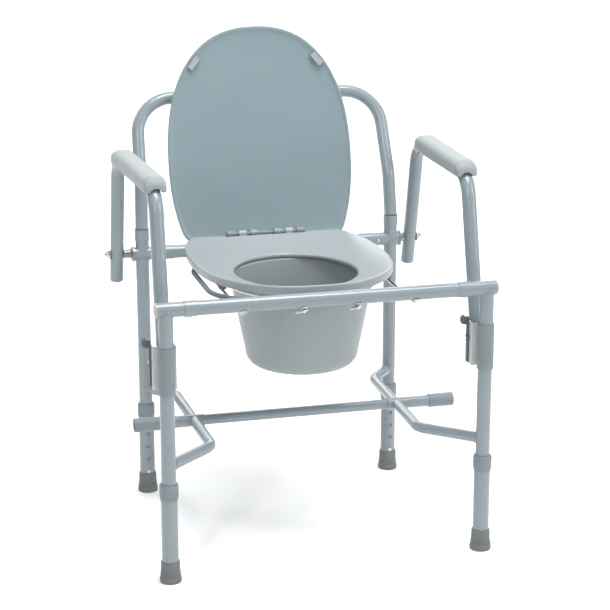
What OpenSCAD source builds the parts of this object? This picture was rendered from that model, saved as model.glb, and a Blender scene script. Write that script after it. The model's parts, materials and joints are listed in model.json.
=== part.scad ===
// Steel-tube commode chair with drop arms, a lift-up seat and lid, and a pail.
// Sizes in millimetres. +Z is up, the chair faces -Y, and +X is its left-hand side.
// The origin is on the floor, under the middle of the chair's whole depth.

/* [Frame] */
// Distance between the front post axes
front_width = 560; // [520:1:700]
// Distance between the back post axes
back_width = 484; // [470:1:600]
// Distance between the front and back post axes
depth = 434; // [430:1:520]
// Height of the front crossbar's axis
front_bar_z = 480; // [470:1:580]
// How far the back crossbar's axis is below the front one
back_bar_drop = 10; // [6:1:16]
// Outer diameter of the main tubes
tube_d = 25; // [24:0.5:28]
// Wall of the steel tubes
tube_wall = 1.5; // [1.2:0.1:2]
// Y of the front post axes
front_y = -252; // [-300:1:-200]

/* [Legs] */
// Wall of a leg extension
extension_wall = 1.5; // [1.2:0.1:2]
// Height of the top of each leg collar
collar_top = 177; // [170:1:210]
// Distance between the height holes
hole_pitch = 25.4; // [22:0.1:28]
// Number of height holes in each extension
hole_count = 4; // [3:1:4]
// Height of the lowest hole above the floor
hole_low_z = 43; // [42:1:46]
// Diameter of the height holes
hole_d = 8; // [7:0.5:9]
// Height of a rubber foot tip
tip_h = 38; // [36:1:39]

/* [Lower bars] */
// Height of the side braces and the lower crossbar
brace_z = 207; // [190:1:280]
// Diameter of the side braces
brace_d = 19; // [17:0.5:20]
// Distance between the straight runs of the two side braces
brace_gap = 380; // [340:1:400]
// Diameter of the lower crossbar
lower_bar_d = 18.5; // [16:0.5:19]
// How far the lower bar's end sleeves reach past the front post axes
sleeve_reach = 20; // [16:1:26]

/* [Backrest] */
// Height of the backrest tube's top run
backrest_z = 748; // [740:1:860]
// How far the top run leans behind the back posts
backrest_lean = 75; // [72:1:90]
// Bend radius of the backrest's top corners
backrest_bend = 70; // [50:1:80]

/* [Arms] */
// Height of the arm's top run
arm_z = 657; // [650:1:720]
// How far the arm pivot is behind the back posts
pivot_back = 18; // [16:1:22]
// How far the arm pivot is outboard of the back posts
pivot_out = 45; // [44:1:50]
// Slope of the arm's two uprights, as run over rise
arm_slope = 0.225; // [0.2:0.005:0.24]
// Width of an arm pad
pad_w = 40; // [38:1:48]

/* [Seat] */
// Width of the seat and lid
seat_w = 354; // [330:1:380]
// How far the seat and lid sit to one side of the middle
seat_offset = -8; // [-12:1:12]
// Width of the seat opening
opening_w = 218; // [200:1:224]
// Length of the seat opening from front to back
opening_l = 248; // [230:1:252]
// Depth of the dish from the rim to the opening
seat_dish = 16; // [12:1:18]
// Angle of the raised lid past upright
lid_lean = 12; // [8:0.5:12.5]
// Diameter of the pail's flange
flange_d = 274; // [268:1:276]
// Depth of the pail
pail_depth = 161; // [140:1:200]

/* [Hidden] */
$fn = 48;

// Colours
steel_paint = "#9fb0b8";
plastic_grey = "#b3bdc2";
lid_paint = "#8ba1a9";
rubber_grey = "#6f7678";
dark_plastic = "#4d565c";

// Frame places
tube_r = tube_d / 2;
front_x = front_width / 2;
back_x = back_width / 2;
back_y = front_y + depth;
mid_y = front_y + depth / 2;
back_bar_z = front_bar_z - back_bar_drop;
gap = 0.3;
bead_h = 1.6;
bead_step = 0.08;

// Leg parts
extension_r = tube_r + gap + extension_wall;
post_foot_z = 20;
extension_foot_z = 6;
collar_h = 28;
collar_r = extension_r + 2;
legs = [[-front_x, front_y], [front_x, front_y], [-back_x, back_y], [back_x, back_y]];

// Crossbars
ferrule_r = tube_r + 1;
ferrule_len = 21;
front_seam_x = front_x - 31;
front_stub_end = front_x + 15;
back_seam_x = back_x - 39;
back_stub_end = back_x + 16;
plate_t = 3;

// Lower bars
brace_r = brace_d / 2;
brace_in_x = brace_gap / 2;
lower_r = lower_bar_d / 2;
lower_stub_r = lower_r + 1.5;
lower_y = mid_y + 6;
lower_seam_x = brace_in_x - 18;
sleeve_end_x = front_x + sleeve_reach;
sleeve_len = 47;
sleeve_r = lower_stub_r + 1.8;

// Backrest
backrest_seam_z = back_bar_z + 26;
backrest_r = tube_r - 0.5;

// Arm places: the pivot, and the four corners of the bent tube
pivot_x = back_x + pivot_out;
pivot_y = back_y + pivot_back;
pivot_z = back_bar_z - 3;
arm_front_x = front_x - 3;
arm_pin_r = 4;
bolt_fit = 0.06;
arm_heel_z = pivot_z - 50;
arm_toe_z = front_bar_z - 118;
arm_toe_y = front_y + 30;
arm_top_front_y = arm_toe_y + arm_slope * (arm_z - arm_toe_z);
arm_top_back_y = pivot_y - arm_slope * (arm_z - pivot_z);
arm_bend = 46;
pad_h = 27;
pad_chamfer = 17;
pad_wall = 11;

// Latch on the back of each front post
latch_top = front_bar_z - 66;
latch_low = latch_top - 76;
latch_sleeve_r = tube_r + 2;
cheek_in = tube_r + 5;
cheek_t = 2.5;
lever_t = 3.5;
lever_pin_z = latch_top - 30;
lever_pin_y = front_y + 32;
lever_pin_r = 3;

// Seat, lid and hinge
hinge_y = back_y - 11;
seat_rim_z = front_bar_z + 18.5;
seat_edge = 15.5;
hinge_z = seat_rim_z + 0.5;
hinge_r = 3.5;
hinge_fit = 0.06;
boss_r = 6.5;
seat_tail = 10;
seat_front = depth - 32;
widest_share = 0.42;
seat_c = seat_tail + (seat_front - seat_tail) * widest_share;
lid_tail = -9;
lid_widest_share = 0.37;
lid_front = seat_front - 14;
lid_rise = 5;
lid_h = 12;
lid_wall = 3;
lid_c = lid_tail + (lid_front - lid_tail) * lid_widest_share;
bracket_x = 67;
seat_ear_x = 45;
lid_ear_x = 23;
ear_w = 14;

// Pail and its holder
rod_r = 3;
rod_z = front_bar_z - tube_r - rod_r - 0.1;
pail_x = 2;
pail_y = mid_y - 24;
flange_r = flange_d / 2;
flange_t = 5;
pail_top = rod_z + rod_r + flange_t + 0.2;
pail_mouth_r = flange_r - 9.5;
pail_foot_r = pail_mouth_r - 26;
pail_wall = 2.2;
holder_r = pail_mouth_r + rod_r + 1;
side_rod_x = 150;
bail_r = 4.5;
bail_reach = 182;
bail_half = flange_r + bail_r + 3;
opening_shift = hinge_y - seat_c - pail_y - 3;

// ---- helpers ----

function unit(v) = v / norm(v);
function tangent_len(p, i, bend) =
    bend / tan(acos(unit(p[i - 1] - p[i]) * unit(p[i + 1] - p[i])) / 2);
function run_start(p, i, bend) =
    i == 0 ? p[0] : p[i] + unit(p[i + 1] - p[i]) * tangent_len(p, i, bend);
function run_end(p, i, bend) =
    i == len(p) - 2 ? p[i + 1] : p[i + 1] + unit(p[i] - p[i + 1]) * tangent_len(p, i + 1, bend);

function longer(p, e) = [for (i = [0 : len(p) - 1])
    i == 0 ? p[0] + unit(p[0] - p[1]) * e
    : i == len(p) - 1 ? p[i] + unit(p[i] - p[i - 1]) * e : p[i]];

// A straight round bar between two points
module rod(a, b, r) {
    d = b - a;
    translate(a) rotate([0, acos(d[2] / norm(d)), atan2(d[1], d[0])]) cylinder(h = norm(d), r = r);
}

// The rounded corner of a bent bar at point i, short of its ends by half a bead
module corner(p, i, r, bend) {
    u = unit(p[i - 1] - p[i]);
    w = unit(p[i + 1] - p[i]);
    open = acos(u * w);
    c = p[i] + unit(u + w) * bend / sin(open / 2);
    ex = unit(p[i] + u * tangent_len(p, i, bend) - c);
    e2 = unit(p[i] + w * tangent_len(p, i, bend) - c);
    ez = unit(cross(ex, e2));
    ey = cross(ez, ex);
    trim = bead_h / 4 / bend * 180 / PI;
    multmatrix([[ex[0], ey[0], ez[0], c[0]], [ex[1], ey[1], ez[1], c[1]],
                [ex[2], ey[2], ez[2], c[2]], [0, 0, 0, 1]])
        rotate([0, 0, trim]) rotate_extrude(angle = 180 - open - 2 * trim)
            translate([bend, 0]) circle(r = r);
}

// A bar through all the points, with rounded corners. Straight runs and corners meet inside
// a bead, a fine ring that joins them.
module bent_rod(p, r, bend) {
    last = len(p) - 2;
    for (i = [0 : last]) {
        a = run_start(p, i, bend);
        b = run_end(p, i, bend);
        d = unit(b - a) * bead_h / 4;
        rod(i == 0 ? a : a + d, i == last ? b : b - d, r);
        if (i > 0) rod(a - 2 * d, a + 2 * d, r + bead_step);
        if (i < last) rod(b - 2 * d, b + 2 * d, r + bead_step);
    }
    for (i = [1 : last]) corner(p, i, r, bend);
}

// The same as a tube, open at both ends
module bent_tube(p, r, bend) {
    difference() {
        bent_rod(p, r, bend);
        bent_rod(longer(p, 1), r - tube_wall, bend);
    }
}

module x_tube(x0, x1, y, z, r, wall) {
    difference() {
        translate([x0, y, z]) rotate([0, 90, 0]) cylinder(h = x1 - x0, r = r);
        translate([x0 - 1, y, z]) rotate([0, 90, 0]) cylinder(h = x1 - x0 + 2, r = r - wall);
    }
}

module x_rod(x0, x1, y, z, r) {
    translate([min(x0, x1), y, z]) rotate([0, 90, 0]) cylinder(h = abs(x1 - x0), r = r);
}

module z_tube(x, y, z0, z1, r, wall) {
    translate([x, y, z0]) difference() {
        cylinder(h = z1 - z0, r = r);
        translate([0, 0, -1]) cylinder(h = z1 - z0 + 2, r = r - wall);
    }
}

// ---- legs ----

module post(x, y, top, cross_z) {
    color(steel_paint) difference() {
        z_tube(x, y, post_foot_z, top, tube_r, tube_wall);
        x_rod(x - 3 * tube_d, x + 3 * tube_d, y, cross_z, tube_r);
        // hole for the snap button
        button_hole(x, y, tube_r, hole_low_z);
    }
}

module button_hole(x, y, r, z) {
    side = y < mid_y ? 1 : -1;
    translate([x, y, z]) rotate([-90 * side, 0, 0]) cylinder(h = r + 5, r = hole_d / 2);
}

module leg_extension(leg) {
    x = leg[0];
    y = leg[1];
    color(steel_paint) difference() {
        z_tube(x, y, extension_foot_z, collar_top - 6, extension_r, extension_wall);
        for (i = [0 : hole_count - 1]) button_hole(x, y, extension_r, hole_low_z + i * hole_pitch);
    }
}

module leg_collar(leg) {
    top = collar_top;
    lip = 6;
    bore = tube_r + gap;
    neck = 4;
    color(plastic_grey) translate([leg[0], leg[1], 0]) rotate_extrude() polygon([
        [bore, top], [bore, top - lip], [extension_r, top - lip], [extension_r, top - collar_h],
        [collar_r - 1, top - collar_h], [collar_r - 1, top - collar_h + neck],
        [collar_r, top - collar_h + neck + 1], [collar_r, top - 3], [collar_r - 1.2, top - 1],
        [bore + 2, top]
    ]);
}

module foot_tip(leg) {
    base_r = extension_r + 4.4;
    neck_r = extension_r + 2.2;
    groove = 0.9;
    color(rubber_grey) translate([leg[0], leg[1], 0]) rotate_extrude() polygon([
        [0, 0], [base_r - 1, 0], [base_r, 1.5], [base_r, 8], [base_r - groove, 8.8],
        [base_r - groove, 10.4], [base_r - 0.4, 11.2], [neck_r + 0.3, tip_h - 4],
        [neck_r - 0.8, tip_h], [extension_r, tip_h], [extension_r, extension_foot_z],
        [0, extension_foot_z]
    ]);
}

module snap_buttons() {
    proud = 1.8;
    color("#c9cdcc") for (leg = legs) {
        side = leg[1] < mid_y ? 1 : -1;
        base = tube_r - tube_wall - 3;
        translate([leg[0], leg[1], hole_low_z]) rotate([-90 * side, 0, 0])
            translate([0, 0, base]) {
                cylinder(h = 1.5, r = hole_d / 2 + 1.2);
                cylinder(h = extension_r + proud - base, r = hole_d / 2 - 0.4);
            }
    }
}

// ---- crossbars ----

module front_stub(s) {
    x0 = min(s * front_seam_x, s * front_stub_end);
    x1 = max(s * front_seam_x, s * front_stub_end);
    color(steel_paint) x_tube(x0, x1, front_y, front_bar_z, tube_r, tube_wall);
}

module back_stub(s) {
    x0 = min(s * back_seam_x, s * back_stub_end);
    x1 = max(s * back_seam_x, s * back_stub_end);
    color(steel_paint) x_tube(x0, x1, back_y, back_bar_z, tube_r, tube_wall);
}

module crossbar(seam_x, y, z) {
    plug = ferrule_len + 20;
    color(steel_paint) {
        x_tube(-seam_x + ferrule_len, seam_x - ferrule_len, y, z, tube_r, tube_wall);
        for (s = [-1, 1]) {
            a = s * (seam_x - plug);
            b = s * (seam_x + 12);
            x_tube(min(a, b), max(a, b), y, z, tube_r - tube_wall, tube_wall);
        }
    }
}

module ferrules(seam_x, y, z) {
    color(steel_paint) for (s = [-1, 1]) {
        a = min(s * (seam_x - ferrule_len), s * seam_x);
        b = max(s * (seam_x - ferrule_len), s * seam_x);
        difference() {
            x_rod(a, b, y, z, ferrule_r);
            x_rod(a - 1, b + 1, y, z, tube_r - tube_wall);
        }
    }
}

module stub_end_caps() {
    dome = 4;
    color("#d8d6c8") for (s = [-1, 1]) {
        translate([s * front_stub_end, front_y, front_bar_z]) rotate([0, 90 * s, 0]) end_cap(dome);
    }
}

// A plug with a domed head, pushed into a tube's end along +Z
module end_cap(dome) {
    translate([0, 0, -12]) cylinder(h = 12, r = tube_r - tube_wall);
    rotate_extrude() polygon([[0, 0], [tube_r, 0], [tube_r, dome * 0.35],
        [tube_r * 0.88, dome * 0.75], [tube_r * 0.6, dome], [0, dome]]);
}

// ---- lower bars ----

function brace_path(s) = [
    [s * back_x, back_y, brace_z],
    [s * (brace_in_x + 4), back_y - 58, brace_z],
    [s * (brace_in_x - 2), front_y + 84, brace_z],
    [s * front_x, front_y, brace_z]
];

module side_brace(s) {
    bend = 34;
    color(steel_paint) difference() {
        bent_tube(brace_path(s), brace_r, bend);
        translate([s * back_x, back_y, 0]) cylinder(h = front_bar_z, r = tube_r);
        translate([s * front_x, front_y, 0]) cylinder(h = front_bar_z, r = tube_r);
    }
}

module lower_stubs() {
    color(steel_paint) for (s = [-1, 1]) {
        a = min(s * lower_seam_x, s * (sleeve_end_x - 1));
        b = max(s * lower_seam_x, s * (sleeve_end_x - 1));
        difference() {
            x_tube(a, b, lower_y, brace_z, lower_stub_r, 1.5);
            rod(brace_path(s)[1], brace_path(s)[2], brace_r);
        }
    }
}

module lower_crossbar() {
    insert = 6;
    half = lower_seam_x + insert;
    color(steel_paint) x_tube(-half, half, lower_y, brace_z, lower_r, 1.5);
}

module lower_end_sleeves() {
    color(plastic_grey) for (s = [-1, 1]) {
        a = min(s * (sleeve_end_x - sleeve_len), s * sleeve_end_x);
        b = max(s * (sleeve_end_x - sleeve_len), s * sleeve_end_x);
        x_tube(a, b, lower_y, brace_z, sleeve_r, sleeve_r - lower_stub_r);
    }
}

// ---- backrest ----

function backrest_path() = [
    [-back_x, back_y, backrest_seam_z + ferrule_len],
    [-back_x + 2, back_y + 10, backrest_seam_z + 100],
    [-back_x + 8, back_y + backrest_lean, backrest_z],
    [back_x - 8, back_y + backrest_lean, backrest_z],
    [back_x - 2, back_y + 10, backrest_seam_z + 100],
    [back_x, back_y, backrest_seam_z + ferrule_len]
];

module backrest_tube() {
    color(steel_paint) bent_tube(backrest_path(), backrest_r, backrest_bend);
}

module backrest_ferrules() {
    top = backrest_seam_z + ferrule_len;
    color(steel_paint) for (s = [-1, 1]) {
        difference() {
            z_tube(s * back_x, back_y, backrest_seam_z, top, ferrule_r, 2);
            translate([s * back_x, back_y, top - 2]) cylinder(h = 3, r = backrest_r + gap);
        }
    }
}

// ---- drop arms ----

function arm_path(s) = [
    [s * pivot_x, pivot_y + arm_slope * (pivot_z - arm_heel_z), arm_heel_z],
    [s * pivot_x, arm_top_back_y, arm_z],
    [s * (arm_front_x - 2), arm_top_front_y, arm_z],
    [s * arm_front_x, arm_toe_y, arm_toe_z]
];

module arm_tube(s) {
    color(steel_paint) difference() {
        bent_tube(arm_path(s), tube_r, arm_bend);
        x_rod(s * (pivot_x - 2 * tube_d), s * (pivot_x + 2 * tube_d), pivot_y, pivot_z,
            arm_pin_r + bolt_fit);
    }
}

module arm_plugs(s) {
    p = arm_path(s);
    color(plastic_grey) {
        arm_plug(p[0], unit(p[0] - p[1]));
        arm_plug(p[3], unit(p[3] - p[2]));
    }
}

module arm_plug(at, dir) {
    translate(at) rotate([0, acos(dir[2]), atan2(dir[1], dir[0])]) end_cap(3);
}

// A moulded pad with a rounded top and sloping ends, and a channel open along its base for
// the tube. It ends short of the tube's rear bend and reaches over the front bend, where a
// lower notch lets the tube out.
module arm_pad(s) {
    p = arm_path(s);
    run = p[2] - p[1];
    len = norm(run) - 33;
    w = pad_w / 2;
    slot = tube_r + 0.5;
    low = -1;
    top = low + pad_h;
    color(plastic_grey) translate((p[1] + p[2]) / 2) rotate([0, 0, atan2(run[1], run[0]) + 90])
        translate([0, -18.5, 0]) difference() {
            intersection() {
                rotate([90, 0, 0]) translate([0, 0, -len / 2]) linear_extrude(height = len)
                    polygon([
                        [-w + 3, low], [w - 3, low], [w, low + 3], [w, top - 14],
                        [w - 2.5, top - 6], [w - 8, top - 1.5], [w - 14, top], [-w + 14, top],
                        [-w + 8, top - 1.5], [-w + 2.5, top - 6], [-w, top - 14], [-w, low + 3]
                    ]);
                rotate([90, 0, 90]) translate([0, 0, -w - 1]) linear_extrude(height = 2 * w + 2)
                    polygon([
                        [-len / 2, low - 1], [len / 2, low - 1], [len / 2, top - pad_chamfer],
                        [len / 2 - pad_chamfer, top + 1], [-len / 2 + pad_chamfer, top + 1],
                        [-len / 2, top - pad_chamfer]
                    ]);
            }
            rotate([90, 0, 0]) translate([0, 0, -len / 2 - 1])
                linear_extrude(height = len - pad_wall + 1) union() {
                    circle(r = slot);
                    translate([-slot, 2 * low - 1]) square([2 * slot, -2 * low + 1]);
                }
            rotate([90, 0, 0]) linear_extrude(height = len) translate([0, -7]) circle(r = slot);
        }
}

module pivot_bolts() {
    color("#c9b88a") for (s = [-1, 1]) {
        x_rod(s * (back_stub_end - 14), s * (pivot_x + tube_r + 9), pivot_y, pivot_z, arm_pin_r);
    }
}

module pivot_nuts() {
    base = 0.5;
    color("#cdb98c") for (s = [-1, 1]) {
        translate([s * (pivot_x + tube_r + base), pivot_y, pivot_z]) rotate([0, 90 * s, 0])
            rotate_extrude() polygon([[arm_pin_r, 0], [9, 0], [9, 1.6], [6.5, 1.8], [6.5, 6],
                [5.4, 9.6], [arm_pin_r, 10.4]]);
    }
}

// Plate across each back stub's end that carries the pivot, and the spacer next to the arm
module pivot_spacers() {
    x0 = back_stub_end;
    plate_r = tube_r + 2;
    color("#8d989d") for (s = [-1, 1]) {
        difference() {
            union() {
                x_rod(s * x0, s * (x0 + plate_t), back_y, back_bar_z, plate_r);
                x_rod(s * x0, s * (x0 + plate_t), pivot_y, pivot_z, plate_r - 3);
                x_rod(s * (x0 + plate_t), s * (pivot_x - tube_r - gap), pivot_y, pivot_z, 8);
            }
            x_rod(s * (x0 - 1), s * pivot_x, pivot_y, pivot_z, arm_pin_r);
        }
    }
}

// ---- latches: the same part on both sides, so its lever is always on the -X side ----

module latch_sleeve(s) {
    color(plastic_grey)
        z_tube(s * front_x, front_y, latch_low - 2, latch_top + 2, latch_sleeve_r, 2);
}

module latch_housing(s) {
    web_y = front_y + latch_sleeve_r;
    long = 30;
    h = latch_top - latch_low;
    color(plastic_grey) translate([s * front_x, 0, latch_low]) difference() {
        union() {
            for (side = [-1, 1]) {
                x0 = side > 0 ? cheek_in : -cheek_in - cheek_t;
                translate([x0, web_y, 0]) cube([cheek_t, long, h]);
            }
            translate([-cheek_in, web_y, 0]) cube([2 * cheek_in, cheek_t - 1, h]);
        }
        translate([-cheek_in - 2 * cheek_t, lever_pin_y, lever_pin_z - latch_low])
            rotate([0, 90, 0]) cylinder(h = 3 * cheek_t, r = lever_pin_r);
    }
}

module latch_lever(s) {
    x1 = s * front_x - cheek_in - cheek_t - gap;
    x0 = x1 - lever_t;
    knob_x = x0 - 6;
    color(dark_plastic) difference() {
        union() {
            x_rod(x0, x1, lever_pin_y, lever_pin_z, 7);
            translate([x0, lever_pin_y - 4.5, lever_pin_z]) cube([lever_t, 9, 30]);
            translate([x0, lever_pin_y - 4, lever_pin_z - 44]) cube([lever_t, 8, 44]);
            translate([knob_x, lever_pin_y, lever_pin_z + 24])
                cylinder(h = 20, r = 6.5);
            translate([knob_x, lever_pin_y - 3, lever_pin_z + 26]) cube([6.5, 6, 14]);
        }
        x_rod(x0 - 1, x1 + 1, lever_pin_y, lever_pin_z, lever_pin_r + hinge_fit);
    }
}

module latch_pins() {
    color("#c9cdcc") for (s = [-1, 1]) {
        x1 = s * front_x - cheek_in;
        x_rod(x1 - cheek_t - gap - lever_t - 1.5, x1, lever_pin_y, lever_pin_z, lever_pin_r);
    }
}

// ---- seat and lid ----

// Reach of the egg outline along a ray at angle a from the front, cut straight at the tail
function egg_r(a, half, front, tail) =
    let (n = cos(a) > 0 ? 2.35 : 2.2, len = cos(a) > 0 ? front : 1.75 * tail,
         r = pow(pow(abs(sin(a)) / half, n) + pow(abs(cos(a)) / len, n), -1 / n))
    cos(a) < 0 ? min(r, -tail / cos(a)) : r;

// Closed ring: each section point is [share, z], 0 on the oval opening and 1 on the outline.
// The opening is [half-width, half-length, how far it lies in front of the outline's middle].
module egg_ring(section, half, front, tail, opening, steps) {
    n = len(section);
    points = [for (i = [0 : steps - 1], q = section)
        let (a = i * 360 / steps, r = egg_r(a, half, front, tail) * q[0], s = 1 - q[0])
        [(r + s * opening[0]) * sin(a), -(r + s * opening[1]) * cos(a) - s * opening[2], q[1]]];
    faces = [for (i = [0 : steps - 1], j = [0 : n - 1])
        let (k = (i + 1) % steps, m = (j + 1) % n)
        [i * n + j, i * n + m, k * n + m, k * n + j]];
    polyhedron(points = points, faces = faces, convexity = 4);
}

// Shell over the outline: the section runs from the middle of the top, round the rim, and
// back to the middle of the underside
module egg_shell(section, half, front, tail, steps) {
    n = len(section);
    points = concat([[0, 0, section[0][1]], [0, 0, section[n - 1][1]]],
        [for (i = [0 : steps - 1], j = [1 : n - 2])
            let (a = i * 360 / steps, r = egg_r(a, half, front, tail) * section[j][0])
            [r * sin(a), -r * cos(a), section[j][1]]]);
    m = n - 2;
    faces = concat(
        [for (i = [0 : steps - 1], j = [0 : m - 2])
            let (k = (i + 1) % steps)
            [2 + i * m + j, 2 + i * m + j + 1, 2 + k * m + j + 1, 2 + k * m + j]],
        [for (i = [0 : steps - 1]) [0, 2 + i * m, 2 + ((i + 1) % steps) * m]],
        [for (i = [0 : steps - 1]) [1, 2 + ((i + 1) % steps) * m + m - 1, 2 + i * m + m - 1]]);
    polyhedron(points = points, faces = faces, convexity = 4);
}

module seat() {
    d = seat_dish;
    lip = seat_rim_z - pail_top - 0.9;
    color(plastic_grey) translate([seat_offset, hinge_y - seat_c, seat_rim_z])
        egg_ring([[1, 2.5 - seat_edge], [1, -4], [0.985, -0.8], [0.95, 0], [0.88, -1.2],
            [0.5, -d * 0.55], [0.14, -d * 0.93], [0.04, -d - 0.2], [0, -d - 2], [0, 1 - lip],
            [0.03, -lip], [0.06, 1 - lip], [0.12, -d - 4], [0.6, -seat_edge - 1.5],
            [0.97, -seat_edge]],
            seat_w / 2, seat_front - seat_c, seat_c - seat_tail,
            [opening_w / 2, opening_l / 2, opening_shift], 72);
}

module seat_ears() {
    color(plastic_grey) for (s = [-1, 1]) {
        x0 = seat_offset + s * seat_ear_x - ear_w / 2;
        difference() {
            union() {
                x_rod(x0, x0 + ear_w, hinge_y, hinge_z, boss_r);
                translate([x0, hinge_y - seat_tail, hinge_z - boss_r - 4])
                    cube([ear_w, seat_tail, boss_r + 3]);
            }
            x_rod(x0 - 1, x0 + ear_w + 1, hinge_y, hinge_z, hinge_r + hinge_fit);
        }
    }
}

module seat_bumpers() {
    bottom = rod_z + rod_r + 0.4;
    color(rubber_grey) for (s = [-1, 1], y = [-1, 1]) {
        translate([s * side_rod_x, mid_y + y * 62, bottom])
            cylinder(h = seat_rim_z - seat_edge - 2.6 - bottom, r = 7);
    }
}

// Puts a shape drawn with the lid shut into the raised place
module raised() {
    translate([seat_offset, hinge_y, hinge_z]) rotate([-90 - lid_lean, 0, 0]) children();
}

module lid() {
    h = lid_rise;
    color(lid_paint) raised() translate([0, -lid_c, h])
        egg_shell([[0, lid_h], [0.5, lid_h - 0.8], [0.85, lid_h - 3], [0.96, lid_h - 5.5],
            [1, lid_h - 8.5], [1, 0.6], [0.985, 0], [0.965, 1.4], [0.93, lid_h - 5.5 - lid_wall],
            [0.83, lid_h - 3 - lid_wall], [0.5, lid_h - 0.8 - lid_wall], [0, lid_h - lid_wall]],
            seat_w / 2, lid_front - lid_c, lid_c - lid_tail, 72);
}

module lid_ears() {
    color(lid_paint) raised() for (s = [-1, 1]) {
        x0 = s * lid_ear_x - ear_w / 2;
        difference() {
            union() {
                x_rod(x0, x0 + ear_w, 0, 0, boss_r);
                translate([x0, 0, 0]) rotate([90, 0, 90]) linear_extrude(height = ear_w)
                    polygon([[-6, 0], [5, 0], [3.8, lid_rise + 1.2], [-1.2, lid_rise + 3.3],
                        [-6, lid_rise + 4.1]]);
            }
            x_rod(x0 - 1, x0 + ear_w + 1, 0, 0, hinge_r + hinge_fit);
        }
    }
}

module lid_bumpers() {
    t = 4;
    color(rubber_grey) raised() for (s = [-1, 1]) {
        translate([s * (seat_w * 0.335), -lid_front + 66, lid_rise - t + 1.2]) rotate([0, 0, s * 52])
            linear_extrude(height = t + 2.6) square([26, 11], center = true);
    }
}

module hinge_rod() {
    reach = bracket_x + ear_w / 2 + 2;
    color("#c9cdcc") x_rod(seat_offset - reach, seat_offset + reach, hinge_y, hinge_z, hinge_r);
}

module hinge_brackets() {
    wall = 3;
    color(plastic_grey) for (s = [-1, 1]) {
        x = seat_offset + s * bracket_x;
        difference() {
            union() {
                x_rod(x - ear_w / 2, x + ear_w / 2, back_y, back_bar_z, tube_r + wall);
                x_rod(x - ear_w / 2, x + ear_w / 2, hinge_y, hinge_z, boss_r);
                translate([x - ear_w / 2, hinge_y - boss_r, back_bar_z])
                    cube([ear_w, boss_r, hinge_z - back_bar_z]);
            }
            x_rod(x - ear_w, x + ear_w, back_y, back_bar_z, tube_r);
            x_rod(x - ear_w, x + ear_w, hinge_y, hinge_z, hinge_r);
        }
    }
}

// ---- pail ----

module pail() {
    top = pail_top;
    low = top - pail_depth;
    curve = 26;
    m = pail_mouth_r;
    f = pail_foot_r;
    w = pail_wall;
    color(plastic_grey) translate([pail_x, pail_y, 0]) {
        rotate_extrude($fn = 96) polygon(concat(
            [[0, low], [f - curve, low]],
            [for (a = [15 : 15 : 75]) [f - curve + curve * sin(a), low + curve - curve * cos(a)]],
            [[f, low + curve], [m, top - flange_t], [flange_r, top - flange_t],
             [flange_r, top], [m - w + 1, top], [m - w - 0.5, top - 2]],
            [[f - w, low + curve]],
            [for (a = [75 : -15 : 15])
                [f - curve + (curve - w) * sin(a), low + curve - (curve - w) * cos(a)]],
            [[f - curve, low + w], [0, low + w]]
        ));
    }
}

module pail_bail() {
    z = rod_z + rod_r + bail_r + 0.2;
    color(dark_plastic) bent_rod([
        [pail_x + 6, pail_y - bail_half, z], [pail_x - bail_reach, pail_y - bail_half, z],
        [pail_x - bail_reach, pail_y + bail_half, z], [pail_x + 6, pail_y + bail_half, z]
    ], bail_r, 88);
}

// Rod ring under the pail's flange, two side rods, and clips on the crossbars
module pail_holder() {
    clip_w = 10;
    clip_wall = 2;
    front_rods = [-46, 48];
    back_rods = [-22, 22];
    color("#cfd6d8") difference() {
        union() {
            translate([pail_x, pail_y, rod_z]) rotate_extrude($fn = 96)
                translate([holder_r, 0]) circle(r = rod_r, $fn = 24);
            for (x = front_rods) {
                y0 = pail_y - sqrt(holder_r * holder_r - pow(x - pail_x, 2));
                rod([x, y0, rod_z], [x, front_y, rod_z], rod_r);
                x_rod(x - clip_w / 2, x + clip_w / 2, front_y, front_bar_z, tube_r + clip_wall);
            }
            for (x = back_rods) {
                y0 = pail_y + sqrt(holder_r * holder_r - pow(x - pail_x, 2));
                rod([x, y0, rod_z], [x, back_y - tube_r + 1, rod_z], rod_r);
                x_rod(x - clip_w / 2, x + clip_w / 2, back_y, back_bar_z, tube_r + clip_wall);
            }
            for (s = [-1, 1]) {
                rod([s * side_rod_x, front_y, rod_z], [s * side_rod_x, back_y - tube_r + 1, rod_z],
                    rod_r);
                x_rod(s * side_rod_x - clip_w / 2, s * side_rod_x + clip_w / 2, front_y,
                    front_bar_z, tube_r + clip_wall);
                x_rod(s * side_rod_x - clip_w / 2, s * side_rod_x + clip_w / 2, back_y,
                    back_bar_z, tube_r + clip_wall);
            }
        }
        x_rod(-front_x, front_x, front_y, front_bar_z, tube_r);
        x_rod(-front_x, front_x, back_y, back_bar_z, tube_r);
        // saddles under the front bar, and clips open at the top that snap over the back bar
        translate([-front_x, front_y - tube_d, front_bar_z - 8])
            cube([2 * front_x, 2 * tube_d, 2 * tube_d]);
        translate([-front_x, back_y - 8, back_bar_z + 3]) cube([2 * front_x, 16, tube_d]);
    }
}

post(-front_x, front_y, front_bar_z, front_bar_z);  // front_post_left
post(front_x, front_y, front_bar_z, front_bar_z);  // front_post_right
post(-back_x, back_y, backrest_seam_z, back_bar_z);  // back_post_left
post(back_x, back_y, backrest_seam_z, back_bar_z);  // back_post_right
leg_extension(legs[0]);  // leg_extension_front_left
leg_extension(legs[1]);  // leg_extension_front_right
leg_extension(legs[2]);  // leg_extension_back_left
leg_extension(legs[3]);  // leg_extension_back_right
leg_collar(legs[0]);  // leg_collar_front_left
leg_collar(legs[1]);  // leg_collar_front_right
leg_collar(legs[2]);  // leg_collar_back_left
leg_collar(legs[3]);  // leg_collar_back_right
foot_tip(legs[0]);  // foot_tip_front_left
foot_tip(legs[1]);  // foot_tip_front_right
foot_tip(legs[2]);  // foot_tip_back_left
foot_tip(legs[3]);  // foot_tip_back_right
snap_buttons();
front_stub(-1);  // front_stub_left
front_stub(1);  // front_stub_right
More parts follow.
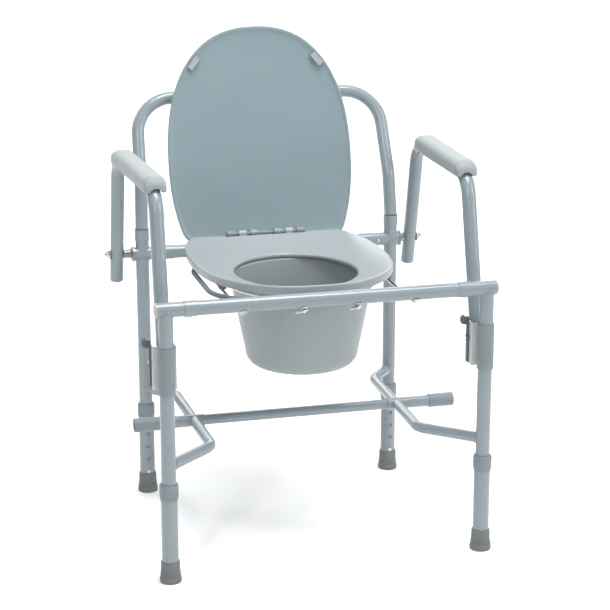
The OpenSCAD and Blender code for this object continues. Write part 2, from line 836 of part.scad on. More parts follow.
back_stub(-1);  // back_stub_left
back_stub(1);  // back_stub_right
crossbar(front_seam_x, front_y, front_bar_z);  // front_crossbar
ferrules(front_seam_x, front_y, front_bar_z);  // front_ferrules
crossbar(back_seam_x, back_y, back_bar_z);  // back_crossbar
ferrules(back_seam_x, back_y, back_bar_z);  // back_ferrules
stub_end_caps();
side_brace(-1);  // side_brace_left
side_brace(1);  // side_brace_right
lower_stubs();
lower_crossbar();
lower_end_sleeves();
backrest_tube();
backrest_ferrules();
arm_tube(-1);  // arm_tube_left
arm_tube(1);  // arm_tube_right
arm_pad(-1);  // arm_pad_left
arm_pad(1);  // arm_pad_right
arm_plugs(-1);  // arm_plugs_left
arm_plugs(1);  // arm_plugs_right
pivot_bolts();
pivot_nuts();
pivot_spacers();
latch_sleeve(-1);  // latch_sleeve_left
latch_sleeve(1);  // latch_sleeve_right
latch_housing(-1);  // latch_housing_left
latch_housing(1);  // latch_housing_right
latch_lever(-1);  // latch_lever_left
latch_lever(1);  // latch_lever_right
latch_pins();
seat();
seat_ears();
seat_bumpers();
lid();
lid_ears();
lid_bumpers();
hinge_rod();
hinge_brackets();
pail();
pail_bail();
pail_holder();
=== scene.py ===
import json
import math

import bmesh
import bpy
from mathutils import Matrix, Vector


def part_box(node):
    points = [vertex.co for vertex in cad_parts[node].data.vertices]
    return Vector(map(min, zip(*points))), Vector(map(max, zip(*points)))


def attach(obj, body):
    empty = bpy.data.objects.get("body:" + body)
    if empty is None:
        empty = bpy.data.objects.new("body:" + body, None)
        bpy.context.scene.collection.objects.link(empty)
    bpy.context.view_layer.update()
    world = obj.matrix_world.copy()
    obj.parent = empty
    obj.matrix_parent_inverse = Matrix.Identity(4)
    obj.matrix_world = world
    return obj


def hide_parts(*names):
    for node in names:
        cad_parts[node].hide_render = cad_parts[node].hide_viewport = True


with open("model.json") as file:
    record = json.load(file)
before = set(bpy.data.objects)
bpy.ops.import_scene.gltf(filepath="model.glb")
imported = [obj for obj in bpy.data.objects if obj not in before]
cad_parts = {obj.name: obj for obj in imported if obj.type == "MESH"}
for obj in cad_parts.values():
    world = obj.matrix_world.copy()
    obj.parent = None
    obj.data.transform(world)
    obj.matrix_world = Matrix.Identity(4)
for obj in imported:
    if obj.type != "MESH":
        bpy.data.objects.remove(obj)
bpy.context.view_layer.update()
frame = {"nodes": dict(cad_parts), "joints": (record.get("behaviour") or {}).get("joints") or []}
nodes = frame["nodes"]

MM = 0.001


# ---- Painted steel frame ----
# Steel tube, 25 mm and 28 mm across, cut, bent and welded, then powder coated in a light
# blue-grey gloss. The braces, stubs and posts are welded; the crossbars plug in.


def colour(code):
    """An sRGB hex colour as the linear values that a shader takes."""
    parts = [int(code[i:i + 2], 16) / 255 for i in (1, 3, 5)]
    linear = [p / 12.92 if p <= 0.04045 else ((p + 0.055) / 1.055) ** 2.4 for p in parts]
    return (*linear, 1.0)


def add_node(tree, kind, inputs=None, links=None, **settings):
    """Adds one node, with its settings, its socket values and the links into it."""
    node = tree.nodes.new(kind)
    for key, value in settings.items():
        setattr(node, key, value)
    for key, value in (inputs or {}).items():
        node.inputs[key].default_value = value
    for key, (source, output) in (links or {}).items():
        tree.links.new(source.outputs[output], node.inputs[key])
    return node


def new_material(name, **surface):
    """An empty material: its tree, its shader, and the piece's own coordinates."""
    material = bpy.data.materials.new(name)
    material.use_nodes = True
    tree = material.node_tree
    shader = tree.nodes["Principled BSDF"]
    for key, value in surface.items():
        shader.inputs[key.replace("_", " ").title().replace("Ior", "IOR")].default_value = value
    place = add_node(tree, "ShaderNodeTexCoord")
    return material, tree, shader, place


def surface_pattern(tree, shader, place, dark, light, patch, grain, depth, rough):
    """Patches between two colours, a fine grain in relief, and an uneven gloss.

    patch and grain are the sizes of the marks and depth is the height of the grain, all in
    millimetres. rough holds the lowest and the highest roughness.
    """
    blotch = add_node(tree, "ShaderNodeTexNoise", {"Scale": 1 / (patch * MM), "Detail": 4.0},
                      {"Vector": (place, "Object")})
    mix = add_node(tree, "ShaderNodeMix", {"A": colour(dark), "B": colour(light)},
                   {"Factor": (blotch, "Fac")}, data_type="RGBA")
    fine = add_node(tree, "ShaderNodeTexNoise", {"Scale": 1 / (grain * MM), "Detail": 3.0},
                    {"Vector": (place, "Object")})
    gloss = add_node(tree, "ShaderNodeMapRange",
                     {"From Min": 0.3, "From Max": 0.7, "To Min": rough[0], "To Max": rough[1]},
                     {"Value": (fine, "Fac")})
    tree.links.new(mix.outputs["Result"], shader.inputs["Base Color"])
    tree.links.new(gloss.outputs["Result"], shader.inputs["Roughness"])
    if depth:
        relief = add_node(tree, "ShaderNodeBump", {"Strength": 0.6, "Distance": depth * MM},
                          {"Height": (fine, "Fac")})
        tree.links.new(relief.outputs["Normal"], shader.inputs["Normal"])


# Powder coat: a smooth gloss with the faint orange peel of a baked coat. The real peel is
# about 1 mm across and is drawn at 5 mm, so that it breaks up the highlights on the tubes.
powder_coat, tree, shader, place = new_material("powder_coated_steel", coat_weight=0.3,
                                                coat_roughness=0.12)
surface_pattern(tree, shader, place, "#7f8a90", "#879298", patch=90, grain=5,
                depth=0.05, rough=(0.2, 0.28))


def dress(material, *names):
    """Gives CAD pieces a material through their own slots."""
    for name in names:
        for slot in nodes[name].material_slots:
            slot.material = material


LEGS = ("front_left", "front_right", "back_left", "back_right")
SIDES = ((-1, "left"), (1, "right"))

dress(powder_coat, "front_crossbar", "front_ferrules", "back_crossbar", "back_ferrules",
      "lower_stubs", "lower_crossbar", "backrest_tube", "backrest_ferrules",
      *[f"leg_extension_{leg}" for leg in LEGS],
      *[f"{tube}_{hand}" for side, hand in SIDES
        for tube in ("front_post", "back_post", "front_stub", "back_stub", "side_brace",
                     "arm_tube")])


def corners(name):
    """The lowest and the highest corner of a CAD node's box."""
    low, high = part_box(name)
    return Vector(low), Vector(high)


def centre(name):
    """The middle of a CAD node's box."""
    low, high = corners(name)
    return (low + high) / 2


def add_piece(name, bm, material, body, replaces=(), sharp=40):
    """Makes a finished piece of a bmesh: normals outward, smooth, riding on its body."""
    bmesh.ops.remove_doubles(bm, verts=bm.verts, dist=1e-6)
    bmesh.ops.recalc_face_normals(bm, faces=bm.faces)
    for face in bm.faces:
        face.smooth = True
    mesh = bpy.data.meshes.new(name)
    bm.to_mesh(mesh)
    bm.free()
    mesh.set_sharp_from_angle(angle=math.radians(sharp))
    mesh.materials.append(material)
    piece = bpy.data.objects.new(name, mesh)
    bpy.context.scene.collection.objects.link(piece)
    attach(piece, body)
    if replaces:
        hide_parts(*replaces)
    return piece


def add_bead(bm, centre_of, across, steps=40, sides=8, radius=1.5 * MM):
    """A closed weld bead: a small round section carried along centre_of(angle).

    across is any direction that the bead never runs along.
    """
    step_ahead = 0.01
    rings = []
    for i in range(steps):
        angle = 2 * math.pi * i / steps
        here = centre_of(angle)
        ahead = (centre_of(angle + step_ahead) - here).normalized()
        side = ahead.cross(across).normalized()
        up = side.cross(ahead)
        turn = Matrix((side, up, ahead)).transposed().to_4x4()
        ring = bmesh.ops.create_circle(bm, segments=sides, radius=radius,
                                       matrix=Matrix.Translation(here) @ turn)["verts"]
        rings.append(ring)
    for i in range(steps):
        # each ring's own edges, without the ones that already lead to the next ring
        edges = [e for ring in (rings[i], rings[(i + 1) % steps])
                 for e in {e for v in ring for e in v.link_edges
                           if all(w in ring for w in e.verts)}]
        bmesh.ops.bridge_loops(bm, edges=edges)


# Weld beads run round each post under its stub, and round each brace where it meets a post.
UP = Vector((0, 0, 1))
low, high = corners("front_crossbar")
tube_r = (high.z - low.z) / 2
low, high = corners("side_brace_left")
brace_r = (high.z - low.z) / 2 - 0.1 * MM
brace_z = (high.z + low.z) / 2
# how far back or forward a brace leaves its post for each step inwards: about 45 degrees
BRACE_RUN = {"front": 1.0, "back": -1.1}
weld = bmesh.new()
for side, hand in SIDES:
    for row in ("front", "back"):
        post = centre(f"{row}_post_{hand}")
        bar_z = centre(f"{row}_stub_{hand}").z

        def saddle(angle, post=post, bar_z=bar_z):
            drop = tube_r * abs(math.cos(angle))
            return Vector((post.x + tube_r * math.cos(angle), post.y + tube_r * math.sin(angle),
                           bar_z - drop))

        add_bead(weld, saddle, UP)

        along = Vector((-side, BRACE_RUN[row], 0)).normalized()
        across = along.cross(UP)
        start = Vector((post.x, post.y, brace_z)) + along * (tube_r + 0.5 * MM)

        def collar(angle, start=start, across=across):
            return (start + across * (brace_r * math.cos(angle))
                    + UP * (brace_r * math.sin(angle)))

        add_bead(weld, collar, along)
add_piece("frame_welds", weld, powder_coat, "frame")


# ---- Push buttons of the knock-down joints ----
# Small zinc-plated spring buttons that lock the plug-in tubes. Each is a turned pin with a
# domed head that stands a little proud of the tube.

# Zinc plate: a bright, slightly cloudy metal
zinc, tree, shader, place = new_material("zinc_plated_steel", metallic=1.0)
surface_pattern(tree, shader, place, "#b9bfc0", "#d3d6d4", patch=20, grain=3,
                depth=0.03, rough=(0.2, 0.38))


def add_lathe(bm, profile, steps=32, matrix=Matrix()):
    """Spins a profile of (radius, height) points in millimetres into a closed solid."""
    before = set(bm.verts)
    points = [bm.verts.new((r * MM, 0, h * MM)) for r, h in profile]
    edges = [bm.edges.new(pair) for pair in zip(points, points[1:])]
    bmesh.ops.spin(bm, geom=points + edges, axis=(0, 0, 1), cent=(0, 0, 0), dvec=(0, 0, 0),
                   angle=2 * math.pi, steps=steps, use_merge=True, use_duplicate=False)
    bmesh.ops.remove_doubles(bm, verts=[v for v in bm.verts if v not in before], dist=1e-6)
    bmesh.ops.transform(bm, matrix=matrix, verts=[v for v in bm.verts if v not in before])


def facing(place, direction):
    """A matrix that puts a lathe's +Z along direction, at place."""
    turn = Vector(direction).to_track_quat("Z", "Y").to_matrix().to_4x4()
    return Matrix.Translation(place) @ turn


BUTTON = [(0, 2.4), (1.6, 2.2), (2.7, 1.3), (3.1, 0.2), (3.1, -1.0), (0, -1.0)]
# From a back stub's middle in to its button, from a bar's or stub's end to the button beside
# it, and the wall of the front ferrule that the button comes through
BACK_INSET = 16 * MM
END_GAP = 10 * MM
FERRULE_WALL = 1 * MM
back_bar, front_bar = centre("back_crossbar"), centre("front_crossbar")
buttons = bmesh.new()
for side, _ in SIDES:
    back_x = side * (centre("back_stub_right").x - BACK_INSET)
    front_x = side * (corners("front_stub_right")[0].x - END_GAP)
    lower_x = side * (corners("lower_crossbar")[1].x + END_GAP)
    back_face = Vector((back_x, back_bar.y - tube_r, back_bar.z))
    front_face = Vector((front_x, front_bar.y, front_bar.z - tube_r - FERRULE_WALL))
    lower_face = Vector((lower_x, corners("lower_stubs")[0].y, centre("lower_crossbar").z))
    add_lathe(buttons, BUTTON, 20, facing(back_face, (0, -1, 0)))
    add_lathe(buttons, BUTTON, 20, facing(front_face, (0, 0, -1)))
    add_lathe(buttons, BUTTON, 20, facing(lower_face, (0, -1, 0)))
add_piece("joint_buttons", buttons, zinc, "frame", sharp=50)
dress(zinc, "snap_buttons", "latch_pins", "pail_holder")


# ---- Leg collars, end sleeves and latches ----
# Injection-moulded nylon in a grey close to the paint: the collars on the legs, the sleeves on
# the lower bar's ends, and the sleeve and guide of each arm latch.

# Moulded nylon: satin, with a fine eroded-mould grain drawn at 3 mm
nylon, tree, shader, place = new_material("moulded_nylon")
surface_pattern(tree, shader, place, "#757e83", "#7d868b", patch=50, grain=3,
                depth=0.08, rough=(0.4, 0.55))
dress(nylon, *[f"leg_collar_{leg}" for leg in LEGS], "lower_end_sleeves", "latch_sleeve_left",
      "latch_sleeve_right", "arm_plugs_left", "arm_plugs_right", "hinge_brackets", "hinge_rod")

# The latch guides are a paler moulding of the same kind
pale_nylon, tree, shader, place = new_material("pale_moulded_nylon")
surface_pattern(tree, shader, place, "#bcbfbe", "#c8cbc9", patch=50, grain=3,
                depth=0.08, rough=(0.38, 0.5))
dress(pale_nylon, "latch_housing_left", "latch_housing_right")

# Dark nylon for the latch levers, which the hand works. The pail's bail gets the same dark grey
# as painted shade: it stands in for the shadow the bail hangs in, not for the bail's own colour
dark_nylon_and_shade, tree, shader, place = new_material("dark_nylon_and_painted_shade")
surface_pattern(tree, shader, place, "#4f585d", "#5d666b", patch=40, grain=3,
                depth=0.08, rough=(0.38, 0.5))
# painted shade: the bail is drawn dark for the shadow it hangs in under the seat
dress(dark_nylon_and_shade, "pail_bail")


def pivot_of(joint):
    """A point on a joint's axis."""
    return Vector(next(j for j in frame["joints"] if j["name"] == joint)["pos_m"])


def add_block(bm, size, place):
    """Adds a box of a size in millimetres, centred on place, and gives its corners."""
    block = bmesh.ops.create_cube(bm, size=1)["verts"]
    bmesh.ops.scale(bm, vec=Vector(size) * MM, verts=block)
    bmesh.ops.translate(bm, vec=place, verts=block)
    return block


def round_edges(bm, verts, offset, segments):
    """Rounds every edge at some of a mesh's corners."""
    edges = list({edge for vert in verts for edge in vert.link_edges})
    bmesh.ops.bevel(bm, geom=edges, offset=offset, segments=segments, profile=0.5,
                    affect="EDGES", material=-1)


# Each lever is a flat blade with a long rounded thumb knob beside its top, joined to it by a
# web, and a round boss on its pin
BOSS = [(0, 0), (6.2, 0), (7, 0.8), (7, 3.4), (0, 3.4)]
for side, hand in SIDES:
    low, high = corners(f"latch_lever_{hand}")
    pin = pivot_of(f"latch_{hand}")
    blade_x = high.x - 1.8 * MM
    lever = bmesh.new()
    knob = bmesh.ops.create_uvsphere(lever, u_segments=28, v_segments=18, radius=5 * MM)["verts"]
    bmesh.ops.scale(lever, vec=(1, 1, 1.7), verts=knob)
    bmesh.ops.translate(lever, vec=(low.x + 5.1 * MM, pin.y, high.z - 11 * MM), verts=knob)
    blade = add_block(lever, (3.4, 9, (high.z - low.z) / MM - 6),
                      Vector((blade_x, pin.y, (low.z + high.z) / 2 - 3 * MM)))
    web = add_block(lever, (8, 5, 14), Vector((blade_x - 4 * MM, pin.y, high.z - 13 * MM)))
    round_edges(lever, blade + web, 1.1 * MM, 3)
    add_lathe(lever, BOSS, 28, facing(Vector((high.x - 3.5 * MM, pin.y, pin.z)), (1, 0, 0)))
    add_piece(f"lever_{hand}", lever, dark_nylon_and_shade, f"lever_{hand}",
              [f"latch_lever_{hand}"])

# Dark plugs close the lower bar's open ends, just inside its sleeves
PLUG = [(0, 0), (8.8, 0), (9.1, -0.4), (9.1, -7), (0, -7)]
PLUG_SUNK = 2 * MM
plugs = bmesh.new()
for side, _ in SIDES:
    mouth = centre("lower_end_sleeves")
    mouth.x = side * (corners("lower_end_sleeves")[1].x - PLUG_SUNK)
    add_lathe(plugs, PLUG, 32, facing(mouth, (side, 0, 0)))
add_piece("bar_plugs", plugs, dark_nylon_and_shade, "frame", sharp=50)

# Vinyl end plug in each front stub
vinyl, tree, shader, place = new_material("vinyl_plug")
surface_pattern(tree, shader, place, "#a7a59b", "#b3b1a7", patch=20, grain=2,
                depth=0.04, rough=(0.3, 0.42))
dress(vinyl, "stub_end_caps")


# ---- Foot tips ----
# Moulded grey rubber, one on each leg, with a thick treaded base and three grip ribs. It is
# pushed over the tube's end and stays by friction.

# Rubber: matt, a little dusty, with a soft mottle
rubber, tree, shader, place = new_material("moulded_rubber", ior=1.52)
surface_pattern(tree, shader, place, "#666a6b", "#727677", patch=25, grain=3,
                depth=0.1, rough=(0.62, 0.8))

RIBS = 3
RIB_PITCH = 3.2
for leg in LEGS:
    tube_low, tube_high = corners(f"leg_extension_{leg}")
    tube = (tube_high.x - tube_low.x) / 2 / MM
    low, high = corners(f"foot_tip_{leg}")
    base_r = (high.x - low.x) / 2 / MM
    top = (high.z - low.z) / MM
    profile = [(0, 0.6), (base_r - 7, 0.6), (base_r - 6.4, 0), (base_r - 1, 0), (base_r, 1.2),
               (base_r, 7.4), (base_r - 0.5, 8.2), (base_r - 1.3, 8.7), (base_r - 1.4, 10)]
    for rib in range(RIBS):
        foot = 11.2 + rib * RIB_PITCH
        skin = base_r - 1.1 - rib * 0.28
        profile += [(skin, foot), (skin, foot + 1.4), (skin - 0.7, foot + 1.9),
                    (skin - 0.7, foot + 2.7)]
    profile += [(base_r - 2.3, 22), (tube + 2.0, top - 3), (tube + 1.6, top - 0.8),
                (tube + 0.9, top), (tube + 0.1, top - 0.2), (tube + 0.1, top - 6), (0, top - 6)]
    tip = bmesh.new()
    add_lathe(tip, profile, 56, Matrix.Translation(((low.x + high.x) / 2,
                                                    (low.y + high.y) / 2, low.z)))
    add_piece(f"tip_{leg}", tip, rubber, f"leg_{leg}", [f"foot_tip_{leg}"], sharp=50)
dress(rubber, "seat_bumpers")


# ---- Arm pads ----
# Moulded pads in pale grey, pushed over the arm's top run. The crown is broad and soft, the
# ends are rounded, and the tube lies in a channel along the base.

# Moulded polyurethane skin: dull and pale, with a leather-like pebble drawn at 4 mm
pad_skin, tree, shader, place = new_material("moulded_polyurethane", sheen_weight=0.1)
surface_pattern(tree, shader, place, "#899092", "#91989a", patch=70, grain=4,
                depth=0.1, rough=(0.5, 0.66))


def pad_outline(half, low, high):
    """Outline of a pad from its left lip over the crown to its right lip."""
    # the reach and the height of the crown's rounded corners
    across, rise = 15 * MM, 13 * MM
    points = [Vector((-half + 1.8 * MM, 0, low)), Vector((-half + 0.5 * MM, 0, low + 0.6 * MM)),
              Vector((-half, 0, low + 2 * MM)), Vector((-half, 0, low + 7 * MM))]
    steps = 10
    for i in range(steps + 1):
        angle = math.radians(180 - 90 * i / steps)
        points.append(Vector((-half + across + across * math.cos(angle), 0,
                              high - rise + rise * math.sin(angle))))
    return points + [Vector((-p.x, 0, p.z)) for p in reversed(points)]


def arch_outline(radius, drop, low, steps=16):
    """Outline of the tube's channel: an arch whose middle lies drop below the tube's."""
    start = math.asin((low + drop) / radius)
    turns = [start + (math.pi - 2 * start) * i / steps for i in range(steps + 1)]
    return [Vector((radius * math.cos(turn), 0, radius * math.sin(turn) - drop))
            for turn in turns]


# The pads lie along the arms, which come together a little towards the front
TOE_IN = math.radians(2.75)
# How each end is rounded: the distance from the end, how far the crown sinks there, and how
# far each side comes in, all in millimetres. The rear end is rounded less.
PAD_END = [(0.0, 15.5, 5.0), (0.6, 13.0, 3.0), (2.2, 10.2, 1.6), (5.0, 6.6, 0.8),
           (9.0, 3.2, 0.3), (13.0, 1.2, 0.1), (18.0, 0.2, 0.0), (24.0, 0.0, 0.0)]
REAR_SHARE = 0.55
END_WALL = 11 * MM
half = 20 * MM
for side, hand in SIDES:
    low, high = corners(f"arm_pad_{hand}")
    length = (high.y - low.y - 2 * half * math.sin(TOE_IN)) / math.cos(TOE_IN) - 1 * MM
    axis_z = low.z + 1 * MM
    outline = pad_outline(half, low.z - axis_z, high.z - axis_z)
    # rings of the skin from one end to the other, each drawn in where its end is rounded
    stations = [(-length / 2 + y * MM, sink, pinch) for y, sink, pinch in PAD_END]
    stations += [(length / 2 - y * MM, sink * REAR_SHARE, pinch * REAR_SHARE)
                 for y, sink, pinch in reversed(PAD_END)]
    pad = bmesh.new()
    tall = high.z - low.z
    skins = []
    for y, sink, pinch in stations:
        share = (tall - sink * MM) / tall
        squeeze = (half - pinch * MM) / half
        skins.append([pad.verts.new(Vector((p.x * squeeze, y,
                                            low.z - axis_z + (p.z - low.z + axis_z) * share)))
                      for p in outline])
    deep = arch_outline(tube_r + 0.5 * MM, 0, low.z - axis_z)
    shallow = arch_outline(tube_r - 1 * MM, 5.6 * MM, low.z - axis_z)
    # the front of the chair is at -Y, so the wall with the low notch closes that end
    front_y, wall_y = -length / 2, -(length / 2 - END_WALL)
    bores = [[pad.verts.new(Vector((p.x, y, p.z))) for p in shape]
             for shape, y in ((shallow, front_y), (shallow, wall_y),
                              (deep, wall_y + 0.4 * MM), (deep, length / 2))]
    for rows in (skins, bores):
        for one, two in zip(rows, rows[1:]):
            for i in range(len(one) - 1):
                pad.faces.new((one[i], one[i + 1], two[i + 1], two[i]))
    for skin, bore in ((skins[0], bores[0]), (skins[-1], bores[-1])):
        pad.faces.new(skin + bore)
    for lip, mouth in ((0, -1), (-1, 0)):
        pad.faces.new([skin[lip] for skin in skins] + [bore[mouth] for bore in bores[::-1]])
    bmesh.ops.rotate(pad, cent=(0, 0, 0), matrix=Matrix.Rotation(-side * TOE_IN, 3, "Z"),
                     verts=pad.verts)
    middle = centre(f"arm_pad_{hand}")
    bmesh.ops.translate(pad, vec=(middle.x, middle.y, axis_z), verts=pad.verts)
    add_piece(f"pad_{hand}", pad, pad_skin, f"arm_{hand}", [f"arm_pad_{hand}"],
              sharp=50)


# ---- Arm pivots ----
# A plated bolt through the arm's heel, with a domed acorn nut on the outside and a turned
# steel spacer between the arm and the back stub.

# Nickel plate on the nuts: a bright and slightly warm metal
nickel, tree, shader, place = new_material("nickel_plated_steel", metallic=1.0)
surface_pattern(tree, shader, place, "#c3c1b8", "#d8d6cd", patch=10, grain=2,
                depth=0.03, rough=(0.18, 0.3))
# Turned steel on the spacers: greyer and duller
spacer_steel, tree, shader, place = new_material("turned_steel", metallic=0.85)
surface_pattern(tree, shader, place, "#878f92", "#9aa1a3", patch=10, grain=2,
                depth=0.04, rough=(0.32, 0.45))
dress(nickel, "pivot_bolts")
dress(spacer_steel, "pivot_spacers")

WASHER = [(0, 0), (8.8, 0), (9, 0.4), (9, 1.3), (8.6, 1.6), (0, 1.6)]
DOME = [(0, 5), (5.7, 5), (5.7, 6.6), (5, 8.6), (3.6, 9.9), (1.8, 10.35), (0, 10.4)]
nuts = bmesh.new()
for side, hand in SIDES:
    arm_face = pivot_of(f"arm_drop_{hand}") + Vector((side * (tube_r + 0.5 * MM), 0, 0))
    outward = facing(arm_face, (side, 0, 0))
    add_lathe(nuts, WASHER, 40, outward)
    hexagon = bmesh.ops.create_cone(nuts, cap_ends=True, segments=6, radius1=7 * MM,
                                    radius2=7 * MM, depth=5 * MM)["verts"]
    bmesh.ops.transform(nuts, matrix=outward @ Matrix.Translation((0, 0, 4 * MM)),
                        verts=hexagon)
    round_edges(nuts, hexagon, 0.5 * MM, 2)
    add_lathe(nuts, DOME, 32, outward)
add_piece("acorn_nuts", nuts, nickel, "frame", ["pivot_nuts"])


# ---- Seat ring ----
# One injection-moulded ring in glossy polypropylene, wide at the back and dished down to its
# opening, with a rolled rim all round. Its ears and the hinge rod hold it at the back.

# Polypropylene: smooth and glossy, a shade lighter than the frame, with no grain to see
seat_gloss, tree, shader, place = new_material("glossy_polypropylene")
surface_pattern(tree, shader, place, "#939c9f", "#999fa2", patch=150, grain=20,
                depth=0, rough=(0.31, 0.34))
dress(seat_gloss, "seat_ears", "lid_bumpers")


def egg_radius(angle, half, front, tail):
    """Reach of the egg-shaped outline at an angle from the front, cut straight at the tail."""
    toward, aside = math.cos(angle), abs(math.sin(angle))
    power = 2.35 if toward > 0 else 2.2
    reach = front if toward > 0 else 1.75 * tail
    radius = ((aside / half) ** power + (abs(toward) / reach) ** power) ** (-1 / power)
    return min(radius, -tail / toward) if toward < 0 else radius


def egg_lathe(bm, section, opening, half, front, tail, steps):
    """Spins a section of (share, height) and draws each ring out from the opening to the egg.

    The opening is its half-width, its half-length and how far its middle lies in front.
    """
    points = [bm.verts.new(Vector((0, -1 - share, height))) for share, height in section]
    pairs = list(zip(points, points[1:]))
    if opening:
        pairs.append((points[-1], points[0]))
    edges = [bm.edges.new(pair) for pair in pairs]
    bmesh.ops.spin(bm, geom=points + edges, axis=(0, 0, 1), cent=(0, 0, 0), dvec=(0, 0, 0),
                   angle=2 * math.pi, steps=steps, use_merge=True, use_duplicate=False)
    wide, long, ahead = opening or (0, 0, 0)
    for vert in bm.verts:
        angle = math.atan2(vert.co.x, -vert.co.y)
        share = Vector((vert.co.x, vert.co.y)).length - 1
        reach = egg_radius(angle, half, front, tail) * share
        vert.co.x = (reach + (1 - share) * wide) * math.sin(angle)
        vert.co.y = -(reach + (1 - share) * long) * math.cos(angle) - (1 - share) * ahead


def smooth_over(piece, levels):
    """Finishes a piece with a subdivision surface."""
    finish = piece.modifiers.new("smooth", "SUBSURF")
    finish.levels = levels
    finish.render_levels = levels


# Where the seat and the lid are widest, as a share of the length from the tail
SEAT_WIDEST = 0.42
LID_WIDEST = 0.37
low, high = corners("seat")
seat_length = high.y - low.y
seat_tail = seat_length * SEAT_WIDEST
# the opening's half-width and half-length, and how far its middle lies in front
opening = (109 * MM, 124 * MM, high.y - seat_tail - centre("pail").y - 3 * MM)
# the section runs from the rim over the top, down the lip to drop, and back under the dish
edge = 15.5
drop = (high.z - low.z) / MM
section = [(1.0, -edge + 2.5), (1.0, -edge + 3.5), (1.0, -5), (0.997, -2.6), (0.985, -0.7),
           (0.955, 0.0), (0.9, -0.7), (0.8, -2.4), (0.5, -8.8), (0.2, -14.2), (0.1, -15.4),
           (0.04, -16.3), (0.005, -18), (0.0, -19.6), (0.0, -drop + 1), (0.02, -drop + 0.1),
           (0.04, -drop + 0.1), (0.06, -drop + 1), (0.11, -19.6), (0.6, -edge - 1.5),
           (0.96, -edge), (0.99, -edge + 0.6)]
ring = bmesh.new()
egg_lathe(ring, [(share, z * MM) for share, z in section], opening, (high.x - low.x) / 2,
          seat_length - seat_tail, seat_tail, 120)
bmesh.ops.translate(ring, vec=((low.x + high.x) / 2, high.y - seat_tail, high.z),
                    verts=ring.verts)
seat_ring = add_piece("seat_ring", ring, seat_gloss, "seat", ["seat"], sharp=80)
smooth_over(seat_ring, 1)


# ---- Lid ----
# The same outline as the seat, moulded in a duller and slightly darker polypropylene. It is a
# shallow shell with a rolled rim; its hollow underside shows while it leans on the backrest.

# Textured polypropylene: satin, with the soft stipple of a lightly blasted mould
lid_satin, tree, shader, place = new_material("textured_polypropylene")
surface_pattern(tree, shader, place, "#798a90", "#819298", patch=120, grain=6,
                depth=0.04, rough=(0.36, 0.46))
dress(lid_satin, "lid_ears")

# The lid is drawn shut and then swung up about the hinge rod until it leans back by LEAN. Shut,
# its rim stands LID_RISE above the rod, and its straight tail reaches 9 mm behind it.
hinge = pivot_of("lid_swing")
LEAN = math.radians(12)
LID_TAIL = -9 * MM
LID_RISE = 5 * MM
low, high = corners("lid")
lid_front = (high.z - hinge.z + (LID_RISE + 1 * MM) * math.sin(LEAN)) / math.cos(LEAN)
lid_mid = LID_TAIL + (lid_front - LID_TAIL) * LID_WIDEST
section = [(0, 12), (0.25, 11.9), (0.5, 11.3), (0.75, 10.0), (0.88, 8.2), (0.95, 6.6),
           (0.985, 4.9), (1.0, 3.0), (1.0, 1.0), (0.994, 0.1), (0.982, 0.0), (0.974, 0.6),
           (0.968, 1.8), (0.95, 3.0), (0.93, 3.6), (0.86, 5.4), (0.75, 7.0), (0.5, 8.3),
           (0.25, 8.9), (0, 9)]
shell = bmesh.new()
egg_lathe(shell, [(share, z * MM) for share, z in section], None, (high.x - low.x) / 2,
          lid_front - lid_mid, lid_mid - LID_TAIL, 120)
raise_lid = (Matrix.Translation(hinge) @ Matrix.Rotation(-math.pi / 2 - LEAN, 4, "X")
             @ Matrix.Translation((0, -lid_mid, LID_RISE)))
bmesh.ops.transform(shell, matrix=raise_lid, verts=shell.verts)
lid_shell = add_piece("lid_shell", shell, lid_satin, "lid", ["lid"], sharp=80)
smooth_over(lid_shell, 1)


# ---- Pail ----
# A deep tapered pail with a flange, moulded in pale grey polypropylene. It hangs by its flange
# from the rod ring between the crossbars.

# Moulded pail: satin, with faint marks of the draw down its sides
pail_satin, tree, shader, place = new_material("satin_polypropylene")
surface_pattern(tree, shader, place, "#889093", "#91989b", patch=100, grain=6,
                depth=0.04, rough=(0.34, 0.46))
dress(pail_satin, "pail")


# ---- Holder hooks ----
# The two middle rods of the pail holder end in small pressed hooks under the front bar: a stub
# of the rod, and a pin across it that keeps it from slipping back. Both are zinc plated.

ROD_STUB = [(0, -12), (3, -12), (3, 8), (2.6, 9), (0, 9.2)]
CROSS_PIN = [(0, -11), (1.9, -10.4), (2.2, -9.6), (2.2, 9.6), (1.9, 10.4), (0, 11)]
hooks = bmesh.new()
for hook_x in (-46 * MM, 48 * MM):
    under = Vector((hook_x, front_bar.y, front_bar.z - tube_r - 3.1 * MM))
    add_lathe(hooks, ROD_STUB, 20, facing(under, (0, -1, -0.22)))
    beside = under + Vector((-4, -5, -1.6)) * MM
    add_lathe(hooks, CROSS_PIN, 16, facing(beside, (1, 0.2, 0.12)))
add_piece("holder_hooks", hooks, zinc, "frame", sharp=50)


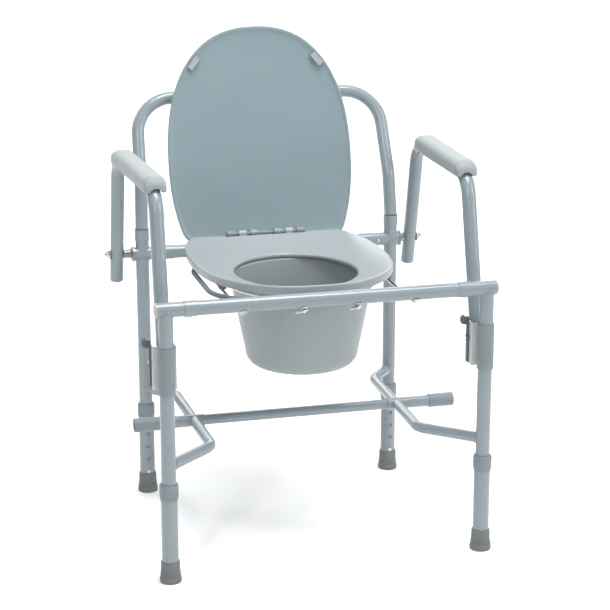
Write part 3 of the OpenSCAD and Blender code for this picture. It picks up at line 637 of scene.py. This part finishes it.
# ---- Studio ----
# A flat white floor under an even white sky. A soft lamp overhead and a tall strip on each side
# light the chair, and a wide lamp far behind it washes the floor out to white.
floor = bpy.data.objects.new("floor", bpy.data.meshes.new("floor"))
sheet = bmesh.new()
bmesh.ops.create_grid(sheet, x_segments=1, y_segments=1, size=30)
sheet.to_mesh(floor.data)
sheet.free()
bpy.context.scene.collection.objects.link(floor)
paper, tree, shader, place = new_material("floor_paper", roughness=0.9)
shader.inputs["Base Color"].default_value = colour("#f7f8f8")
floor.data.materials.append(paper)

sky = bpy.data.worlds.new("white_sky")
sky.use_nodes = True
sky.node_tree.nodes["Background"].inputs["Color"].default_value = (1.0, 1.0, 1.0, 1.0)
sky.node_tree.nodes["Background"].inputs["Strength"].default_value = 0.42
bpy.context.scene.world = sky
bpy.context.scene.view_settings.view_transform = "Standard"


def add_lamp(name, place, aim, size, power):
    """A rectangular soft lamp at place, turned towards aim."""
    lamp = bpy.data.lights.new(name, "AREA")
    lamp.shape = "RECTANGLE"
    lamp.size, lamp.size_y = size
    lamp.energy = power
    fitting = bpy.data.objects.new(name, lamp)
    fitting.location = place
    fitting.rotation_euler = (Vector(aim) - Vector(place)).to_track_quat("-Z", "Y").to_euler()
    bpy.context.scene.collection.objects.link(fitting)


add_lamp("top_lamp", (0.3, -0.4, 3.2), (0, 0.1, 0.4), (1.6, 1.6), 88)
add_lamp("left_strip", (-1.9, -2.9, 2.3), (0, 0, 0.45), (0.4, 2.0), 31)
add_lamp("right_strip", (2.4, -1.6, 1.7), (0, 0, 0.45), (0.4, 2.0), 30)
add_lamp("far_wash", (0, 8, 4.2), (0, 8, 0), (16, 9), 1300)

# The camera stands in front of the chair, a little to its -X side, and looks slightly down
lens = bpy.data.cameras.new("camera")
lens.sensor_width = 36.0
lens.lens = 108.1
camera = bpy.data.objects.new("camera", lens)
camera.location = (-0.798, -3.106, 1.288)
camera.rotation_euler = (math.radians(90 - 15.45), 0, math.radians(-14.82))
bpy.context.scene.collection.objects.link(camera)
bpy.context.scene.camera = camera
